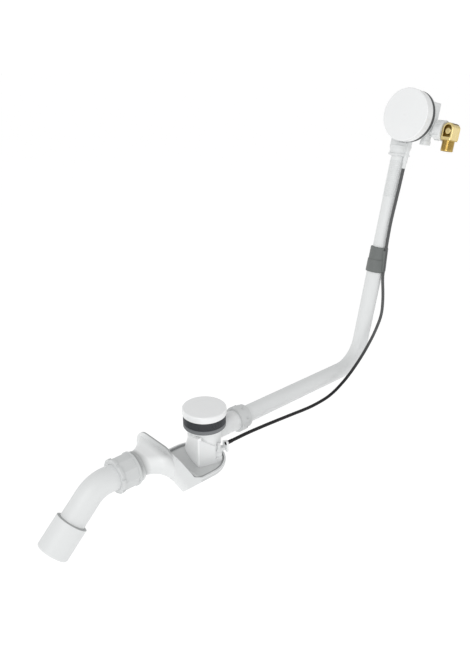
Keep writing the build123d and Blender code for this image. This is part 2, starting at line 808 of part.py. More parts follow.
seal_inside = sleeve_start + sleeve_seal_height
with BuildPart() as outlet_sleeve:
    sleeve_points = [
        (sleeve_start, sleeve_seal_radius + seat_gap),
        (sleeve_start, sleeve_radius),
        (sleeve_end - 2, sleeve_radius),
        (sleeve_end, sleeve_radius - 1.2),
        (sleeve_end, sleeve_bore_radius),
        (pipe_inside, sleeve_bore_radius),
        (pipe_inside, outlet_pipe_radius + slip_gap),
        (seal_inside, outlet_pipe_radius + slip_gap),
        (seal_inside, sleeve_seal_radius + seat_gap),
    ]
    revolve(section(drop_plane, sleeve_points), axis=drop_axis)
outlet_sleeve.part.label = "outlet_sleeve"
export_step(outlet_sleeve.part, "parts/outlet_sleeve.step")

with BuildPart() as sleeve_seal:
    sleeve_seal_points = [
        (sleeve_start - 1.2, outlet_pipe_radius + seat_gap),
        (sleeve_start - 1.2, outlet_pipe_radius + 1.6),
        (sleeve_start, sleeve_seal_radius),
        (seal_inside, sleeve_seal_radius),
        (seal_inside, outlet_pipe_radius + seat_gap),
    ]
    revolve(section(drop_plane, sleeve_seal_points), axis=drop_axis)
sleeve_seal.part.label = "sleeve_seal"
export_step(sleeve_seal.part, "parts/sleeve_seal.step")

# Overflow pipe: branch nut with its ring, bent lower pipe, upper pipe, joint sleeve
ring_far_x = branch_end_x + 5
with BuildPart() as branch_seal:
    branch_seal_points = [
        (branch_end_x, lower_radius + seat_gap),
        (branch_end_x, branch_radius),
        (ring_far_x - 2, branch_radius),
        (ring_far_x, lower_radius + 1.2),
        (ring_far_x, lower_radius + seat_gap),
    ]
    revolve(section(branch_plane, branch_seal_points), axis=branch_axis)
branch_seal.part.label = "branch_seal"
export_step(branch_seal.part, "parts/branch_seal.step")

with BuildPart() as branch_nut:
    branch_nut_points = [
        (branch_nut_near_x, branch_radius + seat_gap),
        (branch_nut_near_x, branch_nut_radius - edge_break),
        (branch_nut_near_x + edge_break, branch_nut_radius),
        (branch_nut_step_x, branch_nut_radius),
        (branch_nut_step_x, branch_nut_small_radius),
        (branch_nut_far_x, branch_nut_small_radius),
        (branch_nut_far_x, lower_radius + slip_gap),
        (ring_far_x + seat_gap, lower_radius + slip_gap),
        (ring_far_x + seat_gap, lower_radius + 1.2),
        (ring_far_x - 2, branch_radius + seat_gap),
    ]
    revolve(section(branch_plane, branch_nut_points), axis=branch_axis)
    notch_plane = Plane(origin=(branch_nut_step_x - 4, 0, pipe_axis_z), x_dir=(0, 1, 0),
                        z_dir=(1, 0, 0))
    with BuildSketch(notch_plane):
        with PolarLocations(branch_nut_radius, branch_notch_count, start_angle=22):
            Rectangle(4.4, 5)
    extrude(amount=8, mode=Mode.SUBTRACT)
branch_nut.part.label = "branch_nut"
export_step(branch_nut.part, "parts/branch_nut.step")

with BuildPart() as lower_pipe:
    with BuildLine() as lower_path:
        FilletPolyline((lower_start_x, 0, pipe_axis_z), riser_corner,
                       riser_corner + riser_dir * clip_step, radius=riser_bend_radius)
    with BuildSketch(Plane(origin=(lower_start_x, 0, pipe_axis_z), z_dir=(1, 0, 0))):
        Circle(lower_radius)
        Circle(lower_radius - lower_wall, mode=Mode.SUBTRACT)
    sweep(path=lower_path.line)
lower_pipe.part.label = "lower_pipe"
export_step(lower_pipe.part, "parts/lower_pipe.step")

with BuildPart() as upper_pipe:
    upper_points = [
        (upper_bottom, upper_radius - upper_wall),
        (upper_bottom, upper_radius - 0.5),
        (upper_bottom + 2, upper_radius),
        (upper_top, upper_radius),
        (upper_top, upper_radius - upper_wall),
    ]
    revolve(section(riser_plane, upper_points), axis=riser_axis)
upper_pipe.part.label = "upper_pipe"
export_step(upper_pipe.part, "parts/upper_pipe.step")

joint_ring_top = clip_step + 6
with BuildPart() as telescope_seal:
    joint_ring_points = [
        (clip_step, upper_radius + seat_gap),
        (joint_ring_top, upper_radius + seat_gap),
        (joint_ring_top, lower_radius - 0.4),
        (clip_step, lower_radius - 0.4),
    ]
    revolve(section(riser_plane, joint_ring_points), axis=riser_axis)
telescope_seal.part.label = "telescope_seal"
export_step(telescope_seal.part, "parts/telescope_seal.step")

clip_entry = on_riser(clip_top, clip_top_side, clip_top_front)
clip_exit = on_riser(clip_bottom, clip_bottom_side, clip_bottom_front)
clip_dir = (clip_entry - clip_exit).normalized()
clip_line = Plane(origin=clip_exit - clip_dir, x_dir=side_dir, z_dir=clip_dir)
with BuildPart() as pipe_clip:
    clip_points = [
        (clip_bottom, lower_radius + seat_gap),
        (clip_bottom, clip_lower_radius - edge_break),
        (clip_bottom + edge_break, clip_lower_radius),
        (clip_step, clip_lower_radius),
        (clip_step, clip_upper_radius),
        (clip_top - edge_break, clip_upper_radius),
        (clip_top, clip_upper_radius - edge_break),
        (clip_top, upper_radius + slip_gap),
        (joint_ring_top, upper_radius + slip_gap),
        (joint_ring_top, lower_radius + seat_gap),
    ]
    revolve(section(riser_plane, clip_points), axis=riser_axis)
    with BuildSketch(clip_line.offset(5)):
        with Locations((-1.5, 0)):
            Rectangle(6, 9)
    extrude(amount=clip_top - clip_bottom - 8)
    with BuildSketch(clip_line):
        Circle(cable_radius + seat_gap)
        with Locations((4, 0)):
            Rectangle(8, 2 * cable_radius - 0.6)
    extrude(amount=clip_top - clip_bottom + 4, mode=Mode.SUBTRACT)
    clip_bore = Plane(origin=on_riser(clip_bottom - 1, 0, 0), x_dir=side_dir,
                      z_dir=riser_dir)
    with BuildSketch(clip_bore):
        Circle(lower_radius + seat_gap)
    extrude(amount=joint_ring_top - clip_bottom + 1, mode=Mode.SUBTRACT)
pipe_clip.part.label = "pipe_clip"
export_step(pipe_clip.part, "parts/pipe_clip.step")

# Overflow head: turning rosette, its spindle and the cable drum
turning_back = -rosette_depth + running_gap
hub_back = -rosette_depth + plate_thickness + running_gap
with BuildPart() as rosette:
    rosette_points = [
        (0, 0),
        (rosette_radius * 0.5, -rosette_crown * 0.25),
        (rosette_radius, -rosette_crown),
        (rosette_radius, turning_back),
        (rosette_radius - rosette_wall, turning_back),
        (rosette_radius - rosette_wall, -rosette_crown - rosette_wall),
        (2.5 * spindle_radius, -rosette_crown - rosette_wall),
        (2.5 * spindle_radius, hub_back),
        (spindle_radius + seat_gap, hub_back),
        (spindle_radius + seat_gap, -rosette_crown - rosette_wall),
        (0, -rosette_crown - rosette_wall),
    ]
    revolve(section(head_side, rosette_points), axis=head_axis)
    front_rims = rosette.edges().filter_by(GeomType.CIRCLE)
    fillet(front_rims.filter_by(lambda e: e.radius > rosette_radius - 0.01
                                and head_plane.to_local_coords(e.center()).Z > -2), 1.6)
rosette.part.label = "rosette"
export_step(rosette.part, "parts/rosette.step")

drum_front = front_disc_back - case_wall - running_gap
drum_back = drum_front - 12
with BuildPart() as drive_spindle:
    with BuildSketch(head_plane.offset(drum_back)):
        Circle(spindle_radius)
    extrude(amount=-rosette_crown - rosette_wall - drum_back)
drive_spindle.part.label = "drive_spindle"
export_step(drive_spindle.part, "parts/drive_spindle.step")

with BuildPart() as cable_drum:
    drum_points = [
        (spindle_radius + seat_gap, drum_back),
        (drum_rim_radius, drum_back),
        (drum_rim_radius, drum_back + 2),
        (drum_radius, drum_back + 4),
        (drum_radius, drum_front - 4),
        (drum_rim_radius, drum_front - 2),
        (drum_rim_radius, drum_front),
        (spindle_radius + seat_gap, drum_front),
    ]
    revolve(section(head_side, drum_points), axis=head_axis)
cable_drum.part.label = "cable_drum"
export_step(cable_drum.part, "parts/cable_drum.step")

# Dark ring against the bath wall, and the plate that clamps it
with BuildPart() as overflow_seal:
    wall_seal_points = [
        (wall_seal_inner_radius, wall_z),
        (wall_seal_radius, wall_z),
        (wall_seal_radius, -rosette_depth),
        (wall_seal_inner_radius, -rosette_depth),
    ]
    revolve(section(head_side, wall_seal_points), axis=head_axis)
overflow_seal.part.label = "overflow_seal"
export_step(overflow_seal.part, "parts/overflow_seal.step")

screw_spots = [(4, 22), (4, -22)]
mouth_inner_x = pipe_x + mouth_inner_offset
mouth_width = plate_radius - mouth_web + mouth_inner_x
mouth_x = mouth_inner_x - mouth_width / 2
with BuildPart() as fixing_flange:
    with BuildSketch(head_plane.offset(-rosette_depth)):
        Circle(plate_radius)
        Circle(spindle_radius + bearing_gap, mode=Mode.SUBTRACT)
        with Locations(*screw_spots):
            Circle(screw_radius + slip_gap, mode=Mode.SUBTRACT)
        with Locations((mouth_x, 0)):
            Rectangle(mouth_width, mouth_height, mode=Mode.SUBTRACT)
    extrude(amount=plate_thickness)
fixing_flange.part.label = "fixing_flange"
export_step(fixing_flange.part, "parts/fixing_flange.step")

boss_back = front_disc_back - boss_length
with BuildPart() as flange_screws:
    with BuildSketch(head_plane.offset(boss_back + 1)):
        with Locations(*screw_spots):
            Circle(screw_radius)
    extrude(amount=-rosette_depth + plate_thickness - boss_back - 1)
    with BuildSketch(head_plane.offset(-rosette_depth + plate_thickness)):
        with Locations(*screw_spots):
            Circle(3.6)
    extrude(amount=2.4)
    with BuildSketch(head_plane.offset(-rosette_depth + plate_thickness + 2.4)):
        with Locations(*screw_spots):
            Rectangle(5, 1)
            Rectangle(1, 5)
    extrude(amount=-1.2, mode=Mode.SUBTRACT)
flange_screws.part.label = "flange_screws"
export_step(flange_screws.part, "parts/flange_screws.step")

# Housing behind the bath wall
step_one = head_level - collar_start
step_two = head_level - collar_end
spigot_low = head_level - spigot_end
chamber_left = -10.5
inlet_axis_plane = Plane(origin=in_head(0, inlet_y, inlet_z), x_dir=side_dir,
                         z_dir=-riser_dir)
inlet_line = Axis(in_head(0, inlet_y, inlet_z), side_dir)
inlet_end = inlet_nut_near + 9
stub_plane = Plane(origin=in_head(stub_x, case_bottom + 1, stub_z), x_dir=side_dir,
                   z_dir=-riser_dir)
with BuildPart() as overflow_body:
    with BuildSketch(head_plane.offset(case_back)):
        with Locations(((case_left + case_right) / 2, (case_bottom + case_top) / 2)):
            RectangleRounded(case_right - case_left, case_top - case_bottom,
                             case_edge_radius)
    extrude(amount=case_depth)
    with BuildSketch(head_plane.offset(front_disc_back)):
        Circle(front_disc_radius)
    extrude(amount=front_disc_thickness)
    spigot_points = [
        (spigot_low, 0),
        (spigot_low, spigot_radius),
        (spigot_low + 1, spigot_radius + 0.9),
        (step_two, spigot_radius + 0.9),
        (step_two, collar_step_radius),
        (head_level + 12, collar_step_radius),
        (head_level + 12, 0),
    ]
    revolve(section(riser_plane, spigot_points), axis=riser_axis)
    with BuildSketch(Plane(origin=on_riser(head_level - conduit_end, head_cable_side,
                                           head_cable_front), x_dir=side_dir,
                           z_dir=riser_dir)):
        Circle(conduit_radius)
    extrude(amount=conduit_end + case_bottom + 2)
    # drum chamber, open to the back
    with BuildSketch(head_plane.offset(case_back)):
        with Locations(((chamber_left + case_right - case_wall) / 2,
                        (case_bottom + case_top) / 2)):
            Rectangle(case_right - case_wall - chamber_left,
                      case_top - case_bottom - 2 * case_wall)
    extrude(amount=case_depth - case_wall, mode=Mode.SUBTRACT)
    with BuildSketch(head_plane.offset(boss_back)):
        with Locations(*screw_spots):
            Circle(4)
    extrude(amount=front_disc_back - boss_back)
    # side inlet: neck, thread, and the passage to the front
    inlet_points = [
        (stub_x - 9, 0),
        (stub_x - 9, inlet_neck_radius - 2.1),
        (case_right, inlet_neck_radius - 2.1),
        (case_right, inlet_neck_radius),
        (inlet_nut_near + 1, inlet_neck_radius),
        (inlet_nut_near + 1, thread_radius),
        (inlet_end, thread_radius),
        (inlet_end, 0),
    ]
    revolve(section(inlet_axis_plane, inlet_points), axis=inlet_line)
    with BuildSketch(head_plane.offset(inlet_z)):
        with Locations((stub_x, inlet_y)):
            Circle(7.5)
    extrude(amount=front_disc_back - inlet_z)
    with BuildSketch(stub_plane):
        Circle(stub_radius)
    extrude(amount=case_bottom + 1 - stub_bottom)
    # waterways
    bore_low = [
        (spigot_low - 1, 0),
        (spigot_low - 1, upper_radius + slip_gap),
        (upper_top + seat_gap, upper_radius + slip_gap),
        (upper_top + seat_gap, upper_radius - upper_wall),
        (head_level + 9, upper_radius - upper_wall),
        (head_level + 9, 0),
    ]
    revolve(section(riser_plane, bore_low), axis=riser_axis, mode=Mode.SUBTRACT)
    with BuildSketch(head_plane.offset(pipe_z)):
        with Locations((mouth_x, -2)):
            Rectangle(mouth_width, 18)
    extrude(amount=wall_z - pipe_z + 1, mode=Mode.SUBTRACT)
    passage_points = [
        (stub_x - 5, 0),
        (stub_x - 5, 5.6),
        (inlet_end + 1, 5.6),
        (inlet_end + 1, 0),
    ]
    revolve(section(inlet_axis_plane, passage_points), axis=inlet_line, mode=Mode.SUBTRACT)
    with BuildSketch(head_plane.offset(inlet_z)):
        with Locations((stub_x, inlet_y)):
            Circle(4.8)
    extrude(amount=wall_z - inlet_z + 1, mode=Mode.SUBTRACT)
    with BuildSketch(Plane(origin=in_head(stub_x, inlet_y - 3, stub_z), x_dir=side_dir,
                           z_dir=-riser_dir)):
        Circle(4)
    extrude(amount=inlet_y - 2 - stub_bottom, mode=Mode.SUBTRACT)
    # bearing of the spindle, screw holes, cable bore and retainer slot
    with BuildSketch(head_plane.offset(front_disc_back - case_wall - 1)):
        Circle(spindle_radius + bearing_gap)
    extrude(amount=case_wall + front_disc_thickness + 2, mode=Mode.SUBTRACT)
    with BuildSketch(head_plane.offset(boss_back + 1)):
        with Locations(*screw_spots):
            Circle(screw_radius + seat_gap)
    extrude(amount=wall_z - boss_back, mode=Mode.SUBTRACT)
    with BuildSketch(Plane(origin=on_riser(head_level - conduit_end - 1, head_cable_side,
                                           head_cable_front), x_dir=side_dir,
                           z_dir=riser_dir)):
        Circle(cable_radius + seat_gap)
    extrude(amount=conduit_end + 1 - 50, mode=Mode.SUBTRACT)
    with BuildSketch(Plane(origin=on_riser(step_one - 6, 0, 0), x_dir=side_dir,
                           z_dir=riser_dir)):
        with PolarLocations(collar_step_radius - 2, 1, start_angle=-48):
            Rectangle(7, 13)
    extrude(amount=4.6, mode=Mode.SUBTRACT)
overflow_body.part.label = "overflow_body"
export_step(overflow_body.part, "parts/overflow_body.step")

with BuildPart() as pipe_retainer:
    with BuildSketch(Plane(origin=on_riser(step_one - 6, 0, 0), x_dir=side_dir,
                           z_dir=riser_dir)):
        with PolarLocations(collar_step_radius - 2, 1, start_angle=-48):
            with Locations((-0.8, 0)):
                Rectangle(2.4, 12)
    extrude(amount=3)
pipe_retainer.part.label = "pipe_retainer"
export_step(pipe_retainer.part, "parts/pipe_retainer.step")

cover_left = pipe_x + collar_step_radius + 1
with BuildPart() as body_cover:
    with BuildSketch(head_plane.offset(case_back - case_wall)):
        with Locations(((cover_left + case_right) / 2, (case_bottom + case_top) / 2)):
            RectangleRounded(case_right - cover_left, case_top - case_bottom, 2)
    extrude(amount=case_wall)
    with BuildSketch(head_plane.offset(case_back - case_wall)):
        with Locations(((cover_left + case_right) / 2, (case_bottom + case_top) / 2)):
            RectangleRounded(case_right - cover_left - 12, case_top - case_bottom - 12, 2)
    extrude(amount=-1.2)
body_cover.part.label = "body_cover"
export_step(body_cover.part, "parts/body_cover.step")

with BuildPart() as head_cable_ferrule:
    ferrule_low = head_cable_end - 0.5
    with BuildSketch(Plane(origin=on_riser(ferrule_low, head_cable_side, head_cable_front),
                           x_dir=side_dir, z_dir=riser_dir)):
        Circle(ferrule_radius + 0.3)
        Circle(cable_radius + seat_gap, mode=Mode.SUBTRACT)
    extrude(amount=head_level - conduit_end - ferrule_low)
head_cable_ferrule.part.label = "head_cable_ferrule"
export_step(head_cable_ferrule.part, "parts/head_cable_ferrule.step")

with BuildPart() as stub_cap:
    cap_plane = Plane(origin=in_head(stub_x, stub_bottom - 2.5, stub_z), x_dir=side_dir,
                      z_dir=riser_dir)
    with BuildSketch(cap_plane):
        Circle(stub_radius + 1.3)
    extrude(amount=7)
    with BuildSketch(cap_plane.offset(2.5)):
        Circle(stub_radius + seat_gap)
    extrude(amount=6, mode=Mode.SUBTRACT)
stub_cap.part.label = "stub_cap"
export_step(stub_cap.part, "parts/stub_cap.step")

# Water connection: washer, union nut and brass elbow
washer_end = inlet_end + 2
flange_end = washer_end + 2.5
leg_radius = 8.8
with BuildPart() as inlet_washer:
    washer_points = [
        (inlet_end, 5.8),
        (inlet_end, thread_radius - 0.6),
        (washer_end, thread_radius - 0.6),
        (washer_end, 5.8),
    ]
    revolve(section(inlet_axis_plane, washer_points), axis=inlet_line)
inlet_washer.part.label = "inlet_washer"
export_step(inlet_washer.part, "parts/inlet_washer.step")

with BuildPart() as inlet_nut:
    inlet_nut_points = [
        (inlet_nut_near, inlet_neck_radius + 1),
        (inlet_nut_near, inlet_nut_radius - 1),
        (inlet_nut_near + 1, inlet_nut_radius),
        (inlet_nut_far - 1, inlet_nut_radius),
        (inlet_nut_far, inlet_nut_radius - 1),
        (inlet_nut_far, leg_radius + slip_gap),
        (flange_end + seat_gap, leg_radius + slip_gap),
        (flange_end + seat_gap, thread_radius + seat_gap),
        (inlet_nut_near + 0.8, thread_radius + seat_gap),
        (inlet_nut_near + 0.8, inlet_neck_radius + 1),
    ]
    revolve(section(inlet_axis_plane, inlet_nut_points), axis=inlet_line)
    grip_plane = Plane(origin=in_head(inlet_nut_near - 1, inlet_y, inlet_z),
                       x_dir=riser_dir, z_dir=side_dir)
    with BuildSketch(grip_plane):
        with PolarLocations(inlet_nut_radius, 8, start_angle=22.5):
            Rectangle(2.6, 4.4)
    extrude(amount=inlet_nut_far - inlet_nut_near - 3, mode=Mode.SUBTRACT)
inlet_nut.part.label = "inlet_nut"
export_step(inlet_nut.part, "parts/inlet_nut.step")

brass_mid_x = (brass_left + brass_right) / 2
brass_half_width = (brass_right - brass_left) / 2
arch_y = brass_top - brass_half_width
with BuildPart() as brass_elbow:
    with BuildSketch(head_plane.offset(inlet_z - brass_half_depth)):
        with Locations((brass_mid_x, arch_y)):
            Circle(brass_half_width)
        with Locations((brass_mid_x, (arch_y + brass_bottom) / 2)):
            Rectangle(2 * brass_half_width, arch_y - brass_bottom)
    extrude(amount=2 * brass_half_depth)
    fillet(brass_elbow.faces().sort_by(Axis((0, 0, 0), front_dir))[-1].edges(), 1.5)
    with BuildSketch(head_plane.offset(inlet_z + brass_half_depth)):
        with Locations((brass_mid_x, arch_y)):
            Circle(brass_half_width - brass_frame)
        with Locations((brass_mid_x, (arch_y + brass_bottom + brass_frame) / 2)):
            Rectangle(2 * (brass_half_width - brass_frame), arch_y - brass_bottom - brass_frame)
    extrude(amount=-brass_hollow, mode=Mode.SUBTRACT)
    with BuildSketch(head_plane.offset(inlet_z + brass_half_depth - brass_hollow)):
        with Locations((brass_mid_x, inlet_y)):
            Circle(brass_boss_radius)
    extrude(amount=brass_boss_rise)
    boss_face = inlet_z + brass_half_depth - brass_hollow + brass_boss_rise
    boss_rim = brass_elbow.edges().filter_by(GeomType.CIRCLE).filter_by(
        lambda e: abs(head_plane.to_local_coords(e.center()).Z - boss_face) < 0.01
        and abs(e.radius - brass_boss_radius) < 0.01)
    fillet(boss_rim, brass_boss_rise - 0.8)
    leg_points = [
        (washer_end, 0),
        (washer_end, thread_radius - 0.4),
        (flange_end, thread_radius - 0.4),
        (flange_end, leg_radius),
        (brass_left + 2, leg_radius),
        (brass_left + 2, 0),
    ]
    revolve(section(inlet_axis_plane, leg_points), axis=inlet_line)
    with BuildSketch(Plane(origin=in_head(brass_mid_x, brass_bottom + 1, inlet_z),
                           x_dir=side_dir, z_dir=-riser_dir)):
        RectangleRounded(2 * brass_half_width + 0.6, 2 * brass_half_depth + 2, 4)
    extrude(amount=3.4)
    tap_plane = Plane(origin=in_head(brass_mid_x, brass_bottom, inlet_z), x_dir=side_dir,
                      z_dir=-riser_dir)
    with BuildSketch(tap_plane):
        Circle(tap_thread_radius)
    extrude(amount=tap_thread_length)
    end_rims = brass_elbow.faces().sort_by(Axis((0, 0, 0), riser_dir))[0].edges()
    chamfer(end_rims, 0.8)
    with BuildSketch(tap_plane.offset(tap_thread_length)):
        Circle(tap_bore_radius)
    extrude(amount=-tap_thread_length, mode=Mode.SUBTRACT)
    with BuildSketch(tap_plane):
        Circle(brass_bore_radius)
    extrude(amount=brass_bottom - inlet_y - brass_bore_radius, mode=Mode.SUBTRACT)
    elbow_bore = [
        (washer_end - 1, 0),
        (washer_end - 1, brass_bore_radius),
        (brass_mid_x, brass_bore_radius),
        (brass_mid_x, 0),
    ]
    revolve(section(inlet_axis_plane, elbow_bore), axis=inlet_line, mode=Mode.SUBTRACT)
brass_elbow.part.label = "brass_elbow"
export_step(brass_elbow.part, "parts/brass_elbow.step")

# Cable from the housing, through the joint sleeve, under the pipe and to the lever
cable_top = on_riser(head_level - 52, head_cable_side, head_cable_front)
cable_end = in_block(bracket_left_u, drain_cable_v, drain_cable_z)
clip_tangent = 8.5
cable_points = [
    cable_top,
    on_riser(376, head_cable_side, head_cable_front),
    on_riser(332, 17.8, 5.0),
    on_riser(289, 17.4, 7.0),
    clip_entry + clip_dir * clip_tangent,
    clip_exit - clip_dir * clip_tangent,
    Vector(437, -23.5, 112),
    Vector(432, -27.5, 78),
    Vector(408, -30.5, 45),
    Vector(372, -32, 8.5),
    Vector(328, -34, -22),
    Vector(280, -35, -43),
    Vector(226, -35.5, -46),
    Vector(165, -36, -40.3),
    Vector(107, -36, -35.8),
    Vector(62, cable_end.Y, cable_end.Z),
    cable_end,
]
cable_radii = []
for before, here, after in zip(cable_points, cable_points[1:], cable_points[2:]):
    half_turn = radians((here - before).get_angle(after - here)) / 2
    run = 0.45 * min((here - before).length, (after - here).length)
    at_clip = len(cable_radii) in (3, 4)
    cable_radii.append(min(run, clip_tangent - 0.5 if at_clip else run) / tan(half_turn))
print("cable bend radii", [round(radius) for radius in cable_radii])
with BuildPart() as bowden_cable:
    with BuildLine() as cable_path:
        FilletPolyline(*cable_points, radius=cable_radii)
    with BuildSketch(Plane(origin=cable_top, z_dir=-riser_dir)):
        Circle(cable_radius)
    sweep(path=cable_path.line)
bowden_cable.part.label = "bowden_cable"
export_step(bowden_cable.part, "parts/bowden_cable.step")
cable_length = sum(edge.length for edge in cable_path.edges())
print("cable length", round(cable_length), "volume over section",
      round(bowden_cable.part.volume / (pi * cable_radius ** 2)))
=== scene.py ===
import math

import bpy
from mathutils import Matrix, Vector


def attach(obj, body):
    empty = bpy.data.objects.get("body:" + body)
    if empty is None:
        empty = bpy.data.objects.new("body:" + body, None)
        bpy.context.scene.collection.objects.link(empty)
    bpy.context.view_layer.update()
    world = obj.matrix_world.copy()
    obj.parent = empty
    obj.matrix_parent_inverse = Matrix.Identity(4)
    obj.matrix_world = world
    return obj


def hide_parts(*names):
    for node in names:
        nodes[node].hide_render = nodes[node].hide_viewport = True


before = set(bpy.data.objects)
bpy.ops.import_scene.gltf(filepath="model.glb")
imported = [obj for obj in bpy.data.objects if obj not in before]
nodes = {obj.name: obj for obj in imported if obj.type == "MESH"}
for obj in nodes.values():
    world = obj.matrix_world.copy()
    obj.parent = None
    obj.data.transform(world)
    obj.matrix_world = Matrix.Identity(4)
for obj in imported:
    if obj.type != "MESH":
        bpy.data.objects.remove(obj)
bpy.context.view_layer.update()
print("frame loaded,", len(nodes), "CAD nodes")


class Wire:  # a node's output, so that shader maths reads as plain sums
    def __init__(self, finish, socket):
        self.finish = finish
        self.socket = socket

    def calc(self, how, first, second=None):
        feeds = {0: first}
        if second is not None:
            feeds[1] = second
        return self.finish.node("ShaderNodeMath", {"operation": how}, feeds)

    def __add__(self, other):
        return self.calc("ADD", self, other)

    def __radd__(self, other):
        return self.calc("ADD", other, self)

    def __rsub__(self, other):
        return self.calc("SUBTRACT", other, self)

    def __mul__(self, other):
        return self.calc("MULTIPLY", self, other)

    def __rmul__(self, other):
        return self.calc("MULTIPLY", other, self)

    def over(self, level):
        return self.calc("GREATER_THAN", self, level)

    def under(self, level):
        return self.calc("LESS_THAN", self, level)

    def size(self):
        return self.calc("ABSOLUTE", self)


class Finish:  # one material and the few calls that build its nodes
    def __init__(self, name, **constants):
        self.material = bpy.data.materials.new(name)
        self.material.use_nodes = True
        self.tree = self.material.node_tree
        self.shader = self.tree.nodes["Principled BSDF"]
        for socket, value in constants.items():
            self.shader.inputs[socket.replace("_", " ")].default_value = value

    def node(self, kind, settings, feeds, out=0):
        made = self.tree.nodes.new(kind)
        for key, value in settings.items():
            setattr(made, key, value)
        for key, value in feeds.items():
            self.feed(made.inputs[key], value)
        return Wire(self, made.outputs[out])

    def feed(self, socket, value):
        if isinstance(value, Wire):
            self.tree.links.new(value.socket, socket)
        else:
            socket.default_value = value

    def drive(self, socket, value):
        self.feed(self.shader.inputs[socket], value)

    def place(self):
        return self.node("ShaderNodeTexCoord", {}, {}, "Object")

    def cloud(self, where, scale, detail=3.0, rough=0.55):
        return self.node("ShaderNodeTexNoise", {"noise_dimensions": "3D"},
                         {"Vector": where, "Scale": scale, "Detail": detail, "Roughness": rough})

    def tint(self, share, first, second):
        return self.node("ShaderNodeMix", {"data_type": "RGBA"}, {0: share, 6: first, 7: second}, 2)

    def grain(self, where, values):  # fine bumps all over
        height = self.cloud(where, values["grainScale"], values["grainDetail"])
        normal = self.node("ShaderNodeBump", {}, {"Strength": values["grainStrength"],
                                                  "Distance": values["grainDepth"], "Height": height})
        self.drive("Normal", normal)

    def along(self, where, axis, start=(0.0, 0.0, 0.0)):  # distance from a point along an axis
        shifted = self.node("ShaderNodeVectorMath", {"operation": "SUBTRACT"},
                            {0: where, 1: start})
        return self.node("ShaderNodeVectorMath", {"operation": "DOT_PRODUCT"},
                         {0: shifted, 1: axis}, "Value")

    def fade(self, value, low, high):  # 0 at low, 1 at high
        return self.node("ShaderNodeMapRange", {"clamp": True}, {0: value, 1: low, 2: high})


def grey(level):
    return (level, level, level, 1.0)


# the frame's axes, then the part's own: up the overflow pipe, out of the turning cap, sideways
aheadWay = Vector((1.0, 0.0, 0.0))
farWay = Vector((0.0, 1.0, 0.0))
upWay = Vector((0.0, 0.0, 1.0))
lean = math.radians(11.3)
riserWay = Vector((math.sin(lean), 0.0, math.cos(lean)))
capWay = Vector((-math.cos(lean), 0.0, math.sin(lean)))
sideWay = Vector((0.0, -1.0, 0.0))
riserFoot = Vector((0.3971, 0.0, -0.0256))
capCentre = Vector((0.4446, -0.026, 0.4535))
brassMiddle = 0.07005  # the brass leg's axis, sideways from the cap's centre


def inHead(x, y, z):
    return capCentre + sideWay * x + riserWay * y + capWay * z


# moulded white plastic: faint flow marks, fine mould grain, a little sheen change
whiteMoulding = {"base": (0.745, 0.757, 0.757, 1.0), "flow": (0.705, 0.72, 0.722, 1.0),
                 "flowScale": 22.0, "flowDetail": 4.0, "sheen": 0.42,
                 "rough": 0.36, "roughRange": 0.12, "roughScale": 60.0,
                 "grainScale": 2600.0, "grainDetail": 2.0, "grainStrength": 0.25,
                 "grainDepth": 0.00003}

# copies of the moulding: the nuts' is darker as painted shade, the drain body's and the housing
# cover's are lighter as painted light
nutMouldingShaded = dict(whiteMoulding, base=(0.64, 0.652, 0.652, 1.0), flow=(0.6, 0.615, 0.617, 1.0))
drainMouldingLit = dict(whiteMoulding, base=(0.84, 0.85, 0.85, 1.0), flow=(0.8, 0.812, 0.814, 1.0))
coverMouldingLit = dict(whiteMoulding, base=(0.95, 0.955, 0.955, 1.0), flow=(0.92, 0.93, 0.93, 1.0))


def startMoulding(name, values):
    f = Finish(name, Specular_IOR_Level=values["sheen"])
    where = f.place()
    flow = f.cloud(where, values["flowScale"], values["flowDetail"])
    sheen = f.cloud(where, values["roughScale"])
    f.drive("Roughness", values["rough"] + values["roughRange"] * sheen)
    f.grain(where, values)
    return f, f.tint(flow, values["flow"], values["base"])


def makeWhiteMoulding(name, values):
    f, body = startMoulding(name, values)
    f.drive("Base Color", body)
    return f.material


# the trap: the same moulding with painted shade in a dark band along the end wall's top, on a darker
# deck, in the hood's hollow, at its throat and on the neck, and painted light on the hood's upper
# part
# colours: painted shade for the end wall's top edge, the neck and throat, the deck and the hood's
# hollow; painted light for the hood's upper part
trapLook = {"edge": (0.30, 0.31, 0.31, 1.0), "neck": (0.46, 0.47, 0.47, 1.0),
            "hoodLight": (0.93, 0.94, 0.94, 1.0), "deckShade": (0.60, 0.61, 0.61, 1.0),
            "hollow": (0.36, 0.37, 0.37, 1.0),
            "edgeShadeShare": 0.8, "hoodLightShare": 0.6, "hollowShare": 0.68, "throatShadeShare": 0.95,
            "deck": -0.0655, "deckStart": -0.05,
            "wallBack": -0.0999, "wallFront": -0.0971, "edgeFoot": -0.007, "edgeFull": 0.001,
            "hoodLightFoot": -0.024, "hoodLightFull": -0.006,
            "hollowStart": -0.110, "hollowFar": 0.06, "hollowNear": -0.03,
            "throatStart": -0.125,
            "neckStart": -0.1347, "neckEnd": -0.1432, "neckLow": -0.036, "neckHigh": -0.014}


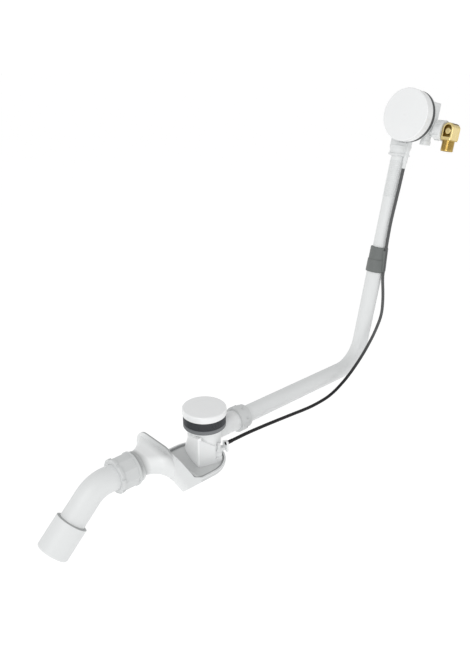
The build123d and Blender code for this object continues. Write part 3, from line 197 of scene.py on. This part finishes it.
def makeTrapMoulding(name, values, edges):
    f, body = startMoulding(name, values)
    where = f.place()
    along = f.along(where, aheadWay)
    across = f.along(where, farWay)
    height = f.along(where, upWay)
    # painted shade: a dark band along the top of the end wall
    shadedEdge = along.over(edges["wallBack"]) * along.under(edges["wallFront"])
    shadedEdge = shadedEdge * f.fade(height, edges["edgeFoot"], edges["edgeFull"])
    # painted shade: the deck is darkened
    shadedDeck = height.under(edges["deck"]) * along.over(edges["deckStart"])
    onHood = along.over(edges["neckStart"]) * along.under(edges["wallBack"])
    # painted light: the hood's upper part is lightened
    litHoodTop = onHood * f.fade(height, edges["hoodLightFoot"], edges["hoodLightFull"])
    # painted shade in the hood's hollow, near the end wall
    shadedHollow = litHoodTop * f.fade(along, edges["hollowStart"], edges["wallBack"])
    shadedHollow = shadedHollow * f.fade(across, edges["hollowFar"], edges["hollowNear"])
    # painted shade at the hood's throat and on the upper side of the neck
    shadedThroat = onHood * f.fade(along, edges["throatStart"], edges["neckStart"])
    shadedNeck = along.over(edges["neckEnd"]) * along.under(edges["neckStart"])
    shadedNeck = shadedNeck * f.fade(height, edges["neckLow"], edges["neckHigh"])
    body = f.tint(shadedDeck, body, edges["deckShade"])
    body = f.tint(edges["hoodLightShare"] * litHoodTop, body, edges["hoodLight"])
    body = f.tint(edges["hollowShare"] * shadedHollow, body, edges["hollow"])
    body = f.tint(edges["throatShadeShare"] * shadedThroat, body, edges["neck"])
    body = f.tint(shadedNeck, body, edges["neck"])
    f.drive("Base Color", f.tint(edges["edgeShadeShare"] * shadedEdge, body, edges["edge"]))
    return f.material


# high gloss white of the plug cap and the turning cap
plugGloss = {"base": (0.86, 0.868, 0.87, 1.0), "shade": (0.835, 0.845, 0.85, 1.0),
             "wave": 45.0, "waveDetail": 2.0, "sheen": 0.5, "coatRough": 0.06,
             "rough": 0.2, "roughRange": 0.06, "coat": 0.35, "coatRange": 0.1,
             "grainScale": 260.0, "grainDetail": 1.0, "grainStrength": 0.08, "grainDepth": 0.00002}
# the turning cap's copy is a little darker: painted shade
capGlossShaded = dict(plugGloss, base=(0.815, 0.824, 0.826, 1.0), shade=(0.79, 0.8, 0.804, 1.0))


def makeWhiteGloss(name, values):
    f = Finish(name, Specular_IOR_Level=values["sheen"], Coat_Roughness=values["coatRough"])
    where = f.place()
    wave = f.cloud(where, values["wave"], values["waveDetail"])
    f.drive("Base Color", f.tint(wave, values["shade"], values["base"]))
    f.drive("Roughness", values["rough"] + values["roughRange"] * wave)
    f.drive("Coat Weight", values["coat"] + values["coatRange"] * wave)
    f.grain(where, values)
    return f.material


# rubber: matt, with a dusty bloom that lightens it in patches
rubberForm = {"sheen": 0.35, "rough": 0.55, "roughRange": 0.2,
              "bloomScale": 140.0, "bloomDetail": 5.0, "bloomRough": 0.65,
              "grainScale": 1800.0, "grainDetail": 2.0, "grainStrength": 0.3, "grainDepth": 0.00005}
rubberTones = {
    "blackRubber": {"base": (0.018, 0.019, 0.021, 1.0), "bloom": (0.045, 0.048, 0.05, 1.0)},
    "wallRubber": {"base": (0.06, 0.063, 0.064, 1.0), "bloom": (0.1, 0.104, 0.105, 1.0)},
    "greyRubber": {"base": (0.165, 0.172, 0.18, 1.0), "bloom": (0.205, 0.212, 0.22, 1.0)},
    # the rim cord's rubber, dark to stand in for shade
    "cornerShadeRubber": {"base": (0.27, 0.276, 0.278, 1.0), "bloom": (0.33, 0.337, 0.34, 1.0)},
    "paleRubber": {"base": (0.36, 0.37, 0.37, 1.0), "bloom": (0.42, 0.43, 0.43, 1.0)},
}


def makeRubber(name, values):
    f = Finish(name, Specular_IOR_Level=values["sheen"])
    where = f.place()
    bloom = f.cloud(where, values["bloomScale"], values["bloomDetail"], values["bloomRough"])
    f.drive("Base Color", f.tint(bloom, values["base"], values["bloom"]))
    f.drive("Roughness", values["rough"] + values["roughRange"] * bloom)
    f.grain(where, values)
    return f.material


# the drain's ribbed ring: dull black, its crests painted lighter as a highlight, and smoother
ribLook = dict(rubberForm, root=(0.008, 0.009, 0.010, 1.0), crest=(0.05, 0.054, 0.061, 1.0),
               rootRadius=0.03455, crestRadius=0.0352, sheen=0.4, rough=0.62, polish=0.2,
               bloomLow=0.8, bloomRange=0.4)


def makeRibRubber(name, values):
    f = Finish(name, Specular_IOR_Level=values["sheen"])
    where = f.place()
    flat = f.node("ShaderNodeVectorMath", {"operation": "MULTIPLY"},
                  {0: where, 1: aheadWay + farWay})
    outward = f.node("ShaderNodeVectorMath", {"operation": "LENGTH"}, {0: flat}, "Value")
    # painted highlight on the crests
    crestGlint = f.fade(outward, values["rootRadius"], values["crestRadius"])
    bloom = f.cloud(where, values["bloomScale"], values["bloomDetail"], values["bloomRough"])
    share = crestGlint * (values["bloomLow"] + values["bloomRange"] * bloom)
    f.drive("Base Color", f.tint(share, values["root"], values["crest"]))
    f.drive("Roughness", values["rough"] - values["polish"] * crestGlint)
    f.grain(where, values)
    return f.material


# plastics of the grey pipe clip and the pale lever, with worn patches
plasticForm = {"sheen": 0.4, "rough": 0.38, "roughRange": 0.16,
               "wearScale": 90.0, "wearDetail": 4.0, "wearRough": 0.6,
               "grainScale": 2200.0, "grainDetail": 2.0, "grainStrength": 0.25, "grainDepth": 0.00004}
plasticTones = {
    "clipPlastic": {"base": (0.13, 0.141, 0.137, 1.0), "worn": (0.17, 0.18, 0.176, 1.0)},
    "leverPlastic": {"base": (0.70, 0.71, 0.71, 1.0), "worn": (0.76, 0.77, 0.77, 1.0)},
}


def makePlastic(name, values):
    f = Finish(name, Specular_IOR_Level=values["sheen"])
    where = f.place()
    worn = f.cloud(where, values["wearScale"], values["wearDetail"], values["wearRough"])
    f.drive("Base Color", f.tint(worn, values["base"], values["worn"]))
    f.drive("Roughness", values["rough"] + values["roughRange"] * worn)
    f.grain(where, values)
    return f.material


# cable sheath: black at the drain and greyer further up, which is painted light, varied in random
# patches
sheathLook = dict(plasticForm, low=(0.006, 0.006, 0.007, 1.0), high=(0.088, 0.09, 0.091, 1.0),
                  lowEnd=-0.03, highStart=0.05, sheen=0.3, rough=0.4, upperLightLow=0.85, upperLightRange=0.3)


def makeSheath(name, values):
    f = Finish(name, Specular_IOR_Level=values["sheen"])
    where = f.place()
    worn = f.cloud(where, values["wearScale"], values["wearDetail"], values["wearRough"])
    # painted light: lighter the higher it runs, varied by patches
    upperLight = f.fade(f.along(where, upWay), values["lowEnd"], values["highStart"])
    upperLight = upperLight * (values["upperLightLow"] + values["upperLightRange"] * worn)
    f.drive("Base Color", f.tint(upperLight, values["low"], values["high"]))
    f.drive("Roughness", values["rough"] + values["roughRange"] * worn)
    f.grain(where, values)
    return f.material


# brass: warm metal, painted shade in the hollow of its face and on the threaded leg, fine casting
# marks
brassLook = {"bright": (0.90, 0.77, 0.42, 1.0), "dull": (0.70, 0.53, 0.2, 1.0),
             "threaded": (0.42, 0.28, 0.07, 1.0), "hollow": (0.17, 0.105, 0.02, 1.0),
             "patchScale": 120.0, "patchDetail": 4.0, "patchRough": 0.6,
             "halfWidth": 0.0073, "face": -0.033, "shallow": 0.0006, "deep": 0.0044,
             "foot": -0.0283, "legStart": -0.0325, "leg": -0.0335, "legShadeShare": 0.85,
             "rough": 0.2, "roughRange": 0.14, "hollowRough": 0.2,
             "grainScale": 900.0, "grainDetail": 3.0, "grainStrength": 0.2, "grainDepth": 0.00006}


def makeBrass(name, values):
    f = Finish(name, Metallic=1.0)
    where = f.place()
    patch = f.cloud(where, values["patchScale"], values["patchDetail"], values["patchRough"])
    across = f.along(where, sideWay, inHead(brassMiddle, 0.0, 0.0)).size()
    height = f.along(where, riserWay, capCentre)
    depth = values["face"] - f.along(where, capWay, capCentre)
    inside = across.under(values["halfWidth"]) * height.over(values["foot"])
    # painted shade, darker deeper into the face's hollow
    shade = inside * f.fade(depth, values["shallow"], values["deep"])
    # painted shade on the threaded leg
    shadedLeg = f.fade(height, values["legStart"], values["leg"])
    body = f.tint(patch, values["dull"], values["bright"])
    body = f.tint(values["legShadeShare"] * shadedLeg, body, values["threaded"])
    f.drive("Base Color", f.tint(shade, body, values["hollow"]))
    rough = values["rough"] + values["roughRange"] * patch
    f.drive("Roughness", rough + values["hollowRough"] * shade)
    f.grain(where, values)
    return f.material


# stainless steel of the drain flange, stem and screws
steelLook = {"base": (0.58, 0.585, 0.59, 1.0), "streak": (0.42, 0.425, 0.43, 1.0),
             "squeeze": (900.0, 900.0, 60.0), "streakDetail": 3.0, "rough": 0.22, "roughRange": 0.18}


def makeSteel(name, values):
    f = Finish(name, Metallic=1.0)
    squeezed = f.node("ShaderNodeMapping", {}, {"Vector": f.place(), "Scale": values["squeeze"]})
    streak = f.cloud(squeezed, 1.0, values["streakDetail"])
    f.drive("Base Color", f.tint(streak, values["streak"], values["base"]))
    f.drive("Roughness", values["rough"] + values["roughRange"] * streak)
    return f.material


looks = {
    "whiteMoulding": makeWhiteMoulding("whiteMoulding", whiteMoulding),
    "nutMouldingShaded": makeWhiteMoulding("nutMouldingShaded", nutMouldingShaded),
    "drainMouldingLit": makeWhiteMoulding("drainMouldingLit", drainMouldingLit),
    "coverMouldingLit": makeWhiteMoulding("coverMouldingLit", coverMouldingLit),
    "trapMoulding": makeTrapMoulding("trapMoulding", whiteMoulding, trapLook),
    "plugGloss": makeWhiteGloss("plugGloss", plugGloss),
    "capGlossShaded": makeWhiteGloss("capGlossShaded", capGlossShaded),
    "brassMetal": makeBrass("brassMetal", brassLook),
    "steelMetal": makeSteel("steelMetal", steelLook),
    "cableSheath": makeSheath("cableSheath", sheathLook),
    "ribRubber": makeRibRubber("ribRubber", ribLook),
}
for name, tones in rubberTones.items():
    looks[name] = makeRubber(name, dict(rubberForm, **tones))
for name, tones in plasticTones.items():
    looks[name] = makePlastic(name, dict(plasticForm, **tones))
print("materials made:", len(looks))

# what isn't listed here wears the white moulding
wearing = {
    "plugGloss": ["plug_cover"],
    "capGlossShaded": ["rosette"],
    "nutMouldingShaded": ["outlet_nut", "branch_nut"],
    "drainMouldingLit": ["drain_body"],
    "trapMoulding": ["trap_body"],
    "ribRubber": ["drain_seal"],
    "blackRubber": ["plug_seal", "trap_seal", "outlet_seal", "branch_seal",
                    "telescope_seal", "inlet_washer"],
    "wallRubber": ["overflow_seal"],
    "greyRubber": ["drain_gasket"],
    "paleRubber": ["sleeve_seal"],
    "clipPlastic": ["pipe_clip", "cable_drum"],
    "leverPlastic": ["lifter_lever"],
    "cableSheath": ["bowden_cable", "drain_cable_ferrule"],
    "steelMetal": ["drain_flange", "plug_stem", "flange_screws"],
    "brassMetal": ["brass_elbow", "drive_spindle"],
}
dressed = {node: look for look, members in wearing.items() for node in members}
for node, thing in nodes.items():
    thing.data.materials.clear()
    thing.data.materials.append(looks[dressed.get(node, "whiteMoulding")])
print("CAD nodes dressed")

smoothAngle = math.radians(35)  # edges sharper than this stay crisp


def settle(piece, name, body, look):
    bpy.ops.object.select_all(action="DESELECT")
    piece.select_set(True)
    bpy.context.view_layer.objects.active = piece
    bpy.ops.object.transform_apply(location=True, rotation=True, scale=True)
    bpy.ops.object.shade_smooth_by_angle(angle=smoothAngle)
    piece.name = name
    piece.data.name = name
    piece.data.materials.clear()
    piece.data.materials.append(looks[look])
    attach(piece, body)


def useModifier(piece, kind, **settings):
    modifier = piece.modifiers.new(kind.lower(), kind)
    for key, value in settings.items():
        setattr(modifier, key, value)
    bpy.ops.object.modifier_apply(modifier=modifier.name)


# rings round the riser: fine ribs on the upper pipe, and two bands on the collar above it
pipeRibs = {"radius": 0.0134, "rise": 0.0008, "sink": 0.0003, "width": 0.0016, "pitch": 0.0034,
            "first": 0.335, "count": 20, "sides": 72, "edge": 0.00048, "edgeSteps": 2}
collarBands = {"radius": 0.0194, "rise": 0.0007, "sink": 0.0003, "width": 0.0024, "pitch": 0.015,
               "first": 0.412, "count": 2, "sides": 72, "edge": 0.00042, "edgeSteps": 2}


def makeRings(name, values):
    bpy.ops.object.select_all(action="DESELECT")
    bpy.ops.mesh.primitive_cylinder_add(vertices=values["sides"], depth=values["width"],
                                        radius=values["radius"] + values["rise"],
                                        end_fill_type="NOTHING")
    first = bpy.context.object
    useModifier(first, "SOLIDIFY", thickness=values["rise"] + values["sink"], offset=-1.0)
    useModifier(first, "BEVEL", width=values["edge"], segments=values["edgeSteps"],
                limit_method="ANGLE")
    first.rotation_euler = riserWay.to_track_quat("Z", "Y").to_euler()
    first.location = riserFoot + riserWay * values["first"]
    step = riserWay * values["pitch"]
    rings = [first]
    while len(rings) < values["count"]:
        bpy.ops.object.duplicate(linked=False)
        bpy.ops.transform.translate(value=step)
        rings.append(bpy.context.object)
    bpy.ops.object.select_all(action="DESELECT")
    for ring in rings:
        ring.select_set(True)
    bpy.context.view_layer.objects.active = first
    bpy.ops.object.join()
    settle(first, name, "fittings", "whiteMoulding")


makeRings("pipeRibs", pipeRibs)
makeRings("collarBands", collarBands)
print("pipe ribs and collar bands made")

# the cable's outer jacket, a little fatter than its plain tube
cableJacket = {"node": "bowden_cable", "grow": 0.0005, "weld": 0.00001}


def makeCableJacket(values):
    tube = nodes[values["node"]]
    jacket = bpy.data.objects.new("cableJacket", tube.data.copy())
    jacket.matrix_world = tube.matrix_world
    bpy.context.collection.objects.link(jacket)
    bpy.ops.object.select_all(action="DESELECT")
    jacket.select_set(True)
    bpy.context.view_layer.objects.active = jacket
    bpy.ops.object.mode_set(mode="EDIT")
    bpy.ops.mesh.select_all(action="SELECT")
    bpy.ops.mesh.remove_doubles(threshold=values["weld"])
    bpy.ops.object.mode_set(mode="OBJECT")
    useModifier(jacket, "DISPLACE", strength=values["grow"], mid_level=0.0)
    settle(jacket, "cableJacket", "fittings", "cableSheath")
    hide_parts(values["node"])


makeCableJacket(cableJacket)
print("cable jacket made")

# grey cord in the corner between the trap's deck and its rim, up both sides of the slope, dark to
# stand in for the shade in that corner
rimCord = {"radius": 0.0016, "side": 0.0463, "deck": -0.0649, "middle": -0.022, "turns": 16,
           "foot": -0.046, "knee": (-0.0646, -0.0572), "top": (-0.0945, -0.0085),
           "order": 3, "lengthSteps": 6, "roundSteps": 3}


def makeRimCord(values):
    side, deck = values["side"], values["deck"]
    kneeX, kneeZ = values["knee"]
    topX, topZ = values["top"]
    near = [(topX, -side, topZ), (kneeX, -side, kneeZ), (values["foot"], -side, deck)]
    bend = []
    for step in range(values["turns"] + 1):
        angle = math.pi * (step / values["turns"] - 0.5)
        bend.append((values["middle"] + side * math.cos(angle), side * math.sin(angle), deck))
    far = [(x, -y, z) for x, y, z in reversed(near)]
    spots = near + bend + far
    bpy.ops.object.select_all(action="DESELECT")
    bpy.ops.curve.primitive_nurbs_path_add()
    route = bpy.context.object.data
    line = route.splines[0]
    line.points.add(len(spots) - len(line.points))
    for point, spot in zip(line.points, spots):
        point.co = (*spot, 1.0)
    line.order_u = values["order"]
    line.use_endpoint_u = True
    line.resolution_u = values["lengthSteps"]
    route.bevel_depth = values["radius"]
    route.bevel_resolution = values["roundSteps"]
    route.use_fill_caps = True
    bpy.ops.object.convert(target="MESH")
    settle(bpy.context.object, "rimCord", "fittings", "cornerShadeRubber")


makeRimCord(rimCord)
print("rim cord made")

# the lifter housing is turned a little; u goes across it, v goes back along it
housingTurn = math.radians(-16.7)
housingU = Vector((math.cos(housingTurn), math.sin(housingTurn), 0.0))
housingV = Vector((-math.sin(housingTurn), math.cos(housingTurn), 0.0))


def inHousing(u, v, z):
    return housingU * u + housingV * v + upWay * z


# its side cover: the face swells in the middle, and the top edge falls towards the back
housingSide = {"front": -0.0303, "footBack": 0.034, "topBack": 0.0105, "foot": -0.0657,
               "topFront": -0.0115, "fall": 0.0145, "droop": 0.005, "droopPower": 6,
               "face": -0.0243, "swell": 0.003, "reach": 0.032, "thick": 0.007,
               "edge": 0.0032, "edgeSteps": 4, "columns": 16, "rows": 8}


def makeHousingSide(values):
    bpy.ops.object.select_all(action="DESELECT")
    bpy.ops.mesh.primitive_grid_add(x_subdivisions=values["columns"], y_subdivisions=values["rows"],
                                    size=1.0)
    cover = bpy.context.object
    for corner in cover.data.vertices:
        back = corner.co.x + 0.5
        up = corner.co.y + 0.5
        low = values["front"] + (values["footBack"] - values["front"]) * back
        high = values["front"] + (values["topBack"] - values["front"]) * back
        droop = values["droop"] * back ** values["droopPower"]
        crown = values["topFront"] - values["fall"] * back - droop
        v = low + (high - low) * up
        z = values["foot"] + (crown - values["foot"]) * up
        u = values["face"] - values["swell"] * (1.0 - (v / values["reach"]) ** 2)
        corner.co = inHousing(u, v, z)
    useModifier(cover, "SOLIDIFY", thickness=values["thick"], offset=1.0)
    useModifier(cover, "BEVEL", width=values["edge"], segments=values["edgeSteps"],
                limit_method="ANGLE")
    bpy.ops.object.mode_set(mode="EDIT")
    bpy.ops.mesh.select_all(action="SELECT")
    bpy.ops.mesh.normals_make_consistent(inside=False)
    bpy.ops.object.mode_set(mode="OBJECT")
    # the cover wears the lighter copy of the moulding: painted light
    settle(cover, "housingSide", "fittings", "coverMouldingLit")


# its heel on the deck, a block with a sloping top behind the cover
housingHeel = {"left": -0.0235, "right": 0.017, "inner": 0.012, "foot": -0.0657,
               "footBack": 0.0335, "topBack": 0.019, "topLeft": -0.0385, "topRight": -0.0465,
               "edge": 0.0018, "edgeSteps": 3}


def makeHousingHeel(values):
    bpy.ops.object.select_all(action="DESELECT")
    bpy.ops.mesh.primitive_cube_add(size=1.0)
    heel = bpy.context.object
    for corner in heel.data.vertices:
        left, back, top = corner.co.x < 0, corner.co.y > 0, corner.co.z > 0
        u = values["left"] if left else values["right"]
        v = values["inner"]
        if back:
            v = values["topBack"] if top else values["footBack"]
        z = values["foot"]
        if top:
            z = values["topLeft"] if left else values["topRight"]
        corner.co = inHousing(u, v, z)
    useModifier(heel, "BEVEL", width=values["edge"], segments=values["edgeSteps"],
                limit_method="ANGLE")
    # the heel wears the lighter copy of the moulding: painted light
    settle(heel, "housingHeel", "fittings", "coverMouldingLit")


makeHousingSide(housingSide)
makeHousingHeel(housingHeel)
print("housing side and heel made")

# screw threads: one wedge swept up a helix, on the trap's neck and on the brass leg
threadForm = {"crestShare": 0.12, "rootShare": 0.42, "sinkShare": 0.5}
neckThread = dict(threadForm, radius=0.0238, rise=0.0007, pitch=0.003, turns=2, sides=72,
                  start=Vector((-0.1357, 0.0, -0.0256)), way=-aheadWay)
tapThread = dict(threadForm, radius=0.01048, rise=0.00045, pitch=0.001814, turns=8, sides=48,
                 start=inHead(brassMiddle, -0.0358, -0.045), way=-riserWay)


def makeThread(name, look, values):
    crest = values["crestShare"] * values["pitch"]
    root = values["rootShare"] * values["pitch"]
    inner = values["radius"] - values["sinkShare"] * values["rise"]
    outer = values["radius"] + values["rise"]
    bpy.ops.object.select_all(action="DESELECT")
    bpy.ops.mesh.primitive_plane_add(size=1.0, rotation=(math.radians(90), 0.0, 0.0))
    wedge = bpy.context.object
    bpy.ops.object.transform_apply(location=True, rotation=True, scale=True)
    for corner in wedge.data.vertices:
        onCrest = corner.co.x > 0
        corner.co.x = outer if onCrest else inner
        corner.co.z = math.copysign(crest if onCrest else root, corner.co.z)
    bpy.ops.object.mode_set(mode="EDIT")
    bpy.ops.mesh.select_all(action="SELECT")
    bpy.ops.mesh.delete(type="ONLY_FACE")
    bpy.ops.object.mode_set(mode="OBJECT")
    useModifier(wedge, "SCREW", screw_offset=values["pitch"], iterations=values["turns"],
                steps=values["sides"], render_steps=values["sides"], use_merge_vertices=False)
    bpy.ops.object.mode_set(mode="EDIT")
    bpy.ops.mesh.select_all(action="SELECT")
    bpy.ops.mesh.fill_holes(sides=4)
    bpy.ops.mesh.select_all(action="SELECT")
    bpy.ops.mesh.normals_make_consistent(inside=False)
    bpy.ops.object.mode_set(mode="OBJECT")
    wedge.rotation_euler = values["way"].to_track_quat("Z", "Y").to_euler()
    wedge.location = values["start"]
    settle(wedge, name, "fittings", look)


makeThread("neckThread", "trapMoulding", neckThread)
makeThread("tapThread", "brassMetal", tapThread)
print("threads made")

# studio: pale floor well below the hanging part, bright walls, a dimmer ceiling
studio = {"floorSpot": (0.1, 0.0, -0.42), "floorSize": 60.0, "floorGlow": 0.45,
          "floorTone": 0.8, "floorRough": 0.8, "floorSheen": 0.1,
          "skyPlaces": (0.1, 0.22, 0.8), "skyLevels": (1.05, 0.7, 0.66),
          "keyPower": 11.5, "keySize": 1.1, "keySpot": (-1.45, -0.75, 1.2),
          "keyAim": (0.05, 0.0, 0.1)}


def makeStudio(values):
    bpy.ops.object.select_all(action="DESELECT")
    bpy.ops.mesh.primitive_plane_add(size=values["floorSize"], location=values["floorSpot"])
    floor = bpy.context.object
    floor.name = "studioFloor"
    f = Finish("paleFloor", Roughness=values["floorRough"], Specular_IOR_Level=values["floorSheen"],
               Base_Color=grey(values["floorTone"]), Emission_Color=grey(1.0),
               Emission_Strength=values["floorGlow"])
    floor.data.materials.append(f.material)
    world = bpy.data.worlds.new("studioSky")
    world.use_nodes = True
    tree = world.node_tree
    back = tree.nodes["Background"]
    way = tree.nodes.new("ShaderNodeTexCoord")
    parts = tree.nodes.new("ShaderNodeSeparateXYZ")
    ramp = tree.nodes.new("ShaderNodeValToRGB")
    ramp.color_ramp.elements.new(0.5)
    for spot, place, level in zip(ramp.color_ramp.elements, values["skyPlaces"], values["skyLevels"]):
        spot.position = place
        spot.color = grey(level)
    tree.links.new(way.outputs["Generated"], parts.inputs[0])
    tree.links.new(parts.outputs["Z"], ramp.inputs[0])
    tree.links.new(ramp.outputs[0], back.inputs["Color"])
    bpy.context.scene.world = world
    bpy.ops.object.light_add(type="AREA", location=values["keySpot"])
    key = bpy.context.object
    key.name = "softKey"
    key.data.energy = values["keyPower"]
    key.data.size = values["keySize"]
    aim = Vector(values["keyAim"]) - key.location
    key.rotation_euler = aim.to_track_quat("-Z", "Y").to_euler()


makeStudio(studio)

# camera: the photograph's own viewpoint, worked out from the part's known points
cameraSpot = {"turn": -42.1, "rise": 23.5, "place": (-0.5791, -0.7154, 0.5569),
              "focalPixels": 650.0, "picturePixels": 665.0, "sensor": 36.0, "farEnd": 60.0}


def makeCamera(values):
    bpy.ops.object.camera_add(location=values["place"])
    camera = bpy.context.object
    turn = math.radians(values["turn"])
    rise = math.radians(values["rise"])
    back = Vector((math.sin(turn) * math.cos(rise), -math.cos(turn) * math.cos(rise),
                   math.sin(rise)))
    camera.rotation_euler = (-back).to_track_quat("-Z", "Y").to_euler()
    camera.data.lens = values["focalPixels"] / values["picturePixels"] * values["sensor"]
    camera.data.sensor_width = values["sensor"]
    camera.data.clip_end = values["farEnd"]
    bpy.context.scene.camera = camera


makeCamera(cameraSpot)
bpy.context.scene.view_settings.view_transform = "Standard"
print("studio and camera set")
